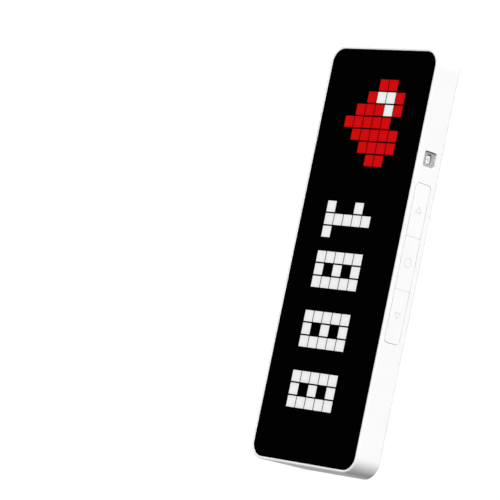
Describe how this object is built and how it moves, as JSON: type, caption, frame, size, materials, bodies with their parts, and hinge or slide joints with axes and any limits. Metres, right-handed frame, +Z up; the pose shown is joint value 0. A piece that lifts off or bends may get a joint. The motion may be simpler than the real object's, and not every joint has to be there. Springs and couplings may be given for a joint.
{
  "type": "pixel clock",
  "caption": "Free-standing desk clock: a long low box with a pixel display in front, sprung keys on its top face, a sloping rear top and a charging socket in the back.",
  "frame": {"origin": "on the standing surface, under the middle of the clock's length and depth", "axes": "+X along the length, to the display's right; +Y to the back, away from the display; +Z up"},
  "size_m": [0.2006, 0.0318, 0.0709],
  "materials": {
    "white_plastic": "fine satin, moulded",
    "key_plastic": "fine satin, moulded, with shallow engraved marks",
    "smoked_window": "smoked black, polished",
    "black_tape": "dull adhesive film",
    "diffuser_film": "milky, lit from behind",
    "black_plastic": "moulded",
    "circuit_board": "solder mask",
    "grey_plastic": "translucent grey",
    "sensor_resin": "milky clear",
    "connector_plastic": "moulded",
    "cell_wrap": "shrink wrap",
    "lead_jacket": "soft jacket",
    "foot_rubber": "fine matt",
    "screw_steel": "zinc plated",
    "shield_steel": "bright tinned"
  },
  "bodies": {
    "clock": {"housing": "white_plastic", "rear_cover": "white_plastic", "rear_cover_screw_1": "screw_steel", "rear_cover_screw_2": "screw_steel", "rear_cover_screw_3": "screw_steel", "rear_cover_screw_4": "screw_steel", "foot_front_left": "foot_rubber", "foot_front_right": "foot_rubber", "foot_rear_left": "foot_rubber", "foot_rear_right": "foot_rubber", "display_window": "smoked_window", "window_tape": "black_tape", "diffuser_sheet": "diffuser_film", "light_grid": "black_plastic", "led_board": "circuit_board", "led_board_screw_1": "screw_steel", "led_board_screw_2": "screw_steel", "led_board_screw_3": "screw_steel", "led_board_screw_4": "screw_steel", "key_board": "circuit_board", "key_board_screw_left": "screw_steel", "key_board_screw_right": "screw_steel", "switch_body_left": "black_plastic", "switch_body_middle": "black_plastic", "switch_body_right": "black_plastic", "sensor_bezel": "grey_plastic", "light_sensor": "sensor_resin", "main_board": "circuit_board", "main_board_screw_1": "screw_steel", "main_board_screw_2": "screw_steel", "main_board_screw_3": "screw_steel", "main_board_screw_4": "screw_steel", "wireless_module": "shield_steel", "buzzer": "black_plastic", "humidity_sensor": "black_plastic", "backup_cell_holder": "black_plastic", "backup_cell": "shield_steel", "usb_socket": "shield_steel", "battery_holder": "black_plastic", "battery_cell_lower": "cell_wrap", "battery_cell_upper": "cell_wrap", "display_connector": "connector_plastic", "board_connector": "connector_plastic", "battery_connector": "connector_plastic", "key_connector": "connector_plastic", "display_lead": "lead_jacket", "key_lead": "lead_jacket", "battery_lead": "lead_jacket"},
    "left_key": {"key_left": "key_plastic", "switch_plunger_left": "grey_plastic"},
    "middle_key": {"key_middle": "key_plastic", "switch_plunger_middle": "grey_plastic"},
    "right_key": {"key_right": "key_plastic", "switch_plunger_right": "grey_plastic"}
  },
  "joints": [
    {"name": "left_key_press", "type": "slide", "parent": "clock", "child": "left_key", "axis": [0, 0, -1], "range_m": [0, 0.0005], "stiffness_N_per_m": 2400, "springref_m": -0.00015},
    {"name": "middle_key_press", "type": "slide", "parent": "clock", "child": "middle_key", "axis": [0, 0, -1], "range_m": [0, 0.0005], "stiffness_N_per_m": 2400, "springref_m": -0.00015},
    {"name": "right_key_press", "type": "slide", "parent": "clock", "child": "right_key", "axis": [0, 0, -1], "range_m": [0, 0.0005], "stiffness_N_per_m": 2400, "springref_m": -0.00015}
  ]
}
